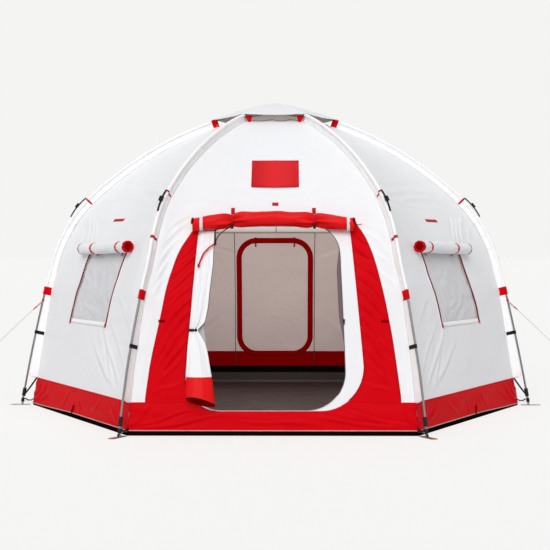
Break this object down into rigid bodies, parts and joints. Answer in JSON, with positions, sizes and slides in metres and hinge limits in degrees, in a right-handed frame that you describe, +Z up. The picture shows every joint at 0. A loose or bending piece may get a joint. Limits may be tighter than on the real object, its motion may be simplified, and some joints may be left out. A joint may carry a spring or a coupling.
{
  "type": "pole-framed dome tent",
  "caption": "Hexagonal dome tent on curved outer poles, with an open front door, rolled awning and blinds, side windows, a vent cap and tub floor.",
  "frame": {"origin": "on the ground under the crown, at the centre of the hexagon of feet", "axes": "+Z up; the front door faces -Y; +X to the right as one looks at the door, through the right-hand middle leg"},
  "size_m": [6.823, 4.549, 2.9747],
  "materials": {
    "white_canopy": "coated white polyester, fine weave",
    "red_fabric": "coated red polyester, slightly glossy",
    "ground_fabric": "dark grey laminated groundsheet",
    "mesh_fabric": "fine insect mesh",
    "white_webbing": "white webbing",
    "guy_cord": "grey braided cord",
    "pole_metal": "satin anodised tube",
    "plate_steel": "dark galvanised steel",
    "black_plastic": "moulded black nylon",
    "red_plastic": "moulded red plastic"
  },
  "bodies": {
    "tent": {"crown_hub": "black_plastic", "arch_pole_mid_right": "pole_metal", "arch_pole_rear_right": "pole_metal", "arch_pole_rear_left": "pole_metal", "arch_pole_mid_left": "pole_metal", "arch_pole_front_left": "pole_metal", "arch_pole_front_right": "pole_metal", "foot_boot_mid_right": "black_plastic", "foot_boot_rear_right": "black_plastic", "foot_boot_rear_left": "black_plastic", "foot_boot_mid_left": "black_plastic", "foot_boot_front_left": "black_plastic", "foot_boot_front_right": "black_plastic", "canopy_panel_front": "white_canopy", "canopy_panel_front_left": "white_canopy", "canopy_panel_front_right": "white_canopy", "canopy_panel_rear": "white_canopy", "canopy_panel_rear_left": "white_canopy", "canopy_panel_rear_right": "white_canopy", "pole_sleeve_mid_right": "white_canopy", "pole_sleeve_rear_right": "white_canopy", "pole_sleeve_rear_left": "white_canopy", "pole_sleeve_mid_left": "white_canopy", "pole_sleeve_front_left": "white_canopy", "pole_sleeve_front_right": "white_canopy", "mud_band": "red_fabric", "groundsheet": "ground_fabric", "vent_cap": "white_canopy", "vent_mesh": "mesh_fabric", "door_surround": "red_fabric", "door_awning_roll": "red_fabric", "awning_tie_left": "white_webbing", "awning_tie_right": "white_webbing", "door_curtain": "white_canopy", "rear_door": "white_canopy", "window_mesh_front_left": "mesh_fabric", "window_mesh_front_right": "mesh_fabric", "window_blind_front_left": "white_canopy", "window_blind_front_right": "white_canopy", "guy_line_left": "guy_cord", "guy_line_right": "guy_cord", "guy_peg_left": "plate_steel", "guy_peg_right": "plate_steel"},
    "plate_mid_right": {"foot_plate_mid_right": "plate_steel"},
    "plate_rear_right": {"foot_plate_rear_right": "plate_steel"},
    "plate_rear_left": {"foot_plate_rear_left": "plate_steel"},
    "plate_mid_left": {"foot_plate_mid_left": "plate_steel"},
    "plate_front_left": {"foot_plate_front_left": "plate_steel"},
    "plate_front_right": {"foot_plate_front_right": "plate_steel"},
    "slider_window_left_rear": {"window_slider_front_left_rear": "red_plastic"},
    "slider_window_left_front": {"window_slider_front_left_front": "red_plastic"},
    "slider_window_right_rear": {"window_slider_front_right_rear": "red_plastic"},
    "slider_window_right_front": {"window_slider_front_right_front": "red_plastic"},
    "slider_door_left": {"door_slider_left": "black_plastic"},
    "slider_door_right": {"door_slider_right": "black_plastic"},
    "runner_left": {"guy_runner_left": "red_plastic"},
    "runner_right": {"guy_runner_right": "red_plastic"}
  },
  "joints": [
    {"name": "plate_hinge_mid_right", "type": "hinge", "parent": "tent", "child": "plate_mid_right", "pos_m": [2.50025, 0, 0.018], "axis": [0, 1, 0], "range_deg": [-25, 25]},
    {"name": "plate_hinge_rear_right", "type": "hinge", "parent": "tent", "child": "plate_rear_right", "pos_m": [1.25013, 2.16528, 0.018], "axis": [-0.866, 0.5, 0], "range_deg": [-25, 25]},
    {"name": "plate_hinge_rear_left", "type": "hinge", "parent": "tent", "child": "plate_rear_left", "pos_m": [-1.25013, 2.16528, 0.018], "axis": [-0.866, -0.5, 0], "range_deg": [-25, 25]},
    {"name": "plate_hinge_mid_left", "type": "hinge", "parent": "tent", "child": "plate_mid_left", "pos_m": [-2.50025, 0, 0.018], "axis": [0, -1, 0], "range_deg": [-25, 25]},
    {"name": "plate_hinge_front_left", "type": "hinge", "parent": "tent", "child": "plate_front_left", "pos_m": [-1.25013, -2.16528, 0.018], "axis": [0.866, -0.5, 0], "range_deg": [-25, 25]},
    {"name": "plate_hinge_front_right", "type": "hinge", "parent": "tent", "child": "plate_front_right", "pos_m": [1.25013, -2.16528, 0.018], "axis": [0.866, 0.5, 0], "range_deg": [-25, 25]},
    {"name": "window_zip_left_rear", "type": "slide", "parent": "tent", "child": "slider_window_left_rear", "axis": [0.181, -0.0306, 0.983], "range_m": [0, 0.2]},
    {"name": "window_zip_left_front", "type": "slide", "parent": "tent", "child": "slider_window_left_front", "axis": [0.1773, -0.0238, 0.9839], "range_m": [0, 0.2]},
    {"name": "window_zip_right_rear", "type": "slide", "parent": "tent", "child": "slider_window_right_rear", "axis": [-0.181, -0.0306, 0.983], "range_m": [0, 0.2]},
    {"name": "window_zip_right_front", "type": "slide", "parent": "tent", "child": "slider_window_right_front", "axis": [-0.1773, -0.0238, 0.9839], "range_m": [0, 0.2]},
    {"name": "door_zip_left", "type": "slide", "parent": "tent", "child": "slider_door_left", "axis": [0.0353, 0.1423, 0.9892], "range_m": [-0.36, 0.14]},
    {"name": "door_zip_right", "type": "slide", "parent": "tent", "child": "slider_door_right", "axis": [-0.0353, 0.1423, 0.9892], "range_m": [-0.36, 0.14]},
    {"name": "guy_runner_slide_left", "type": "slide", "parent": "tent", "child": "runner_left", "axis": [-0.7303, 0, -0.6832], "range_m": [0, 0.24]},
    {"name": "guy_runner_slide_right", "type": "slide", "parent": "tent", "child": "runner_right", "axis": [0.7303, 0, -0.6832], "range_m": [0, 0.24]}
  ]
}
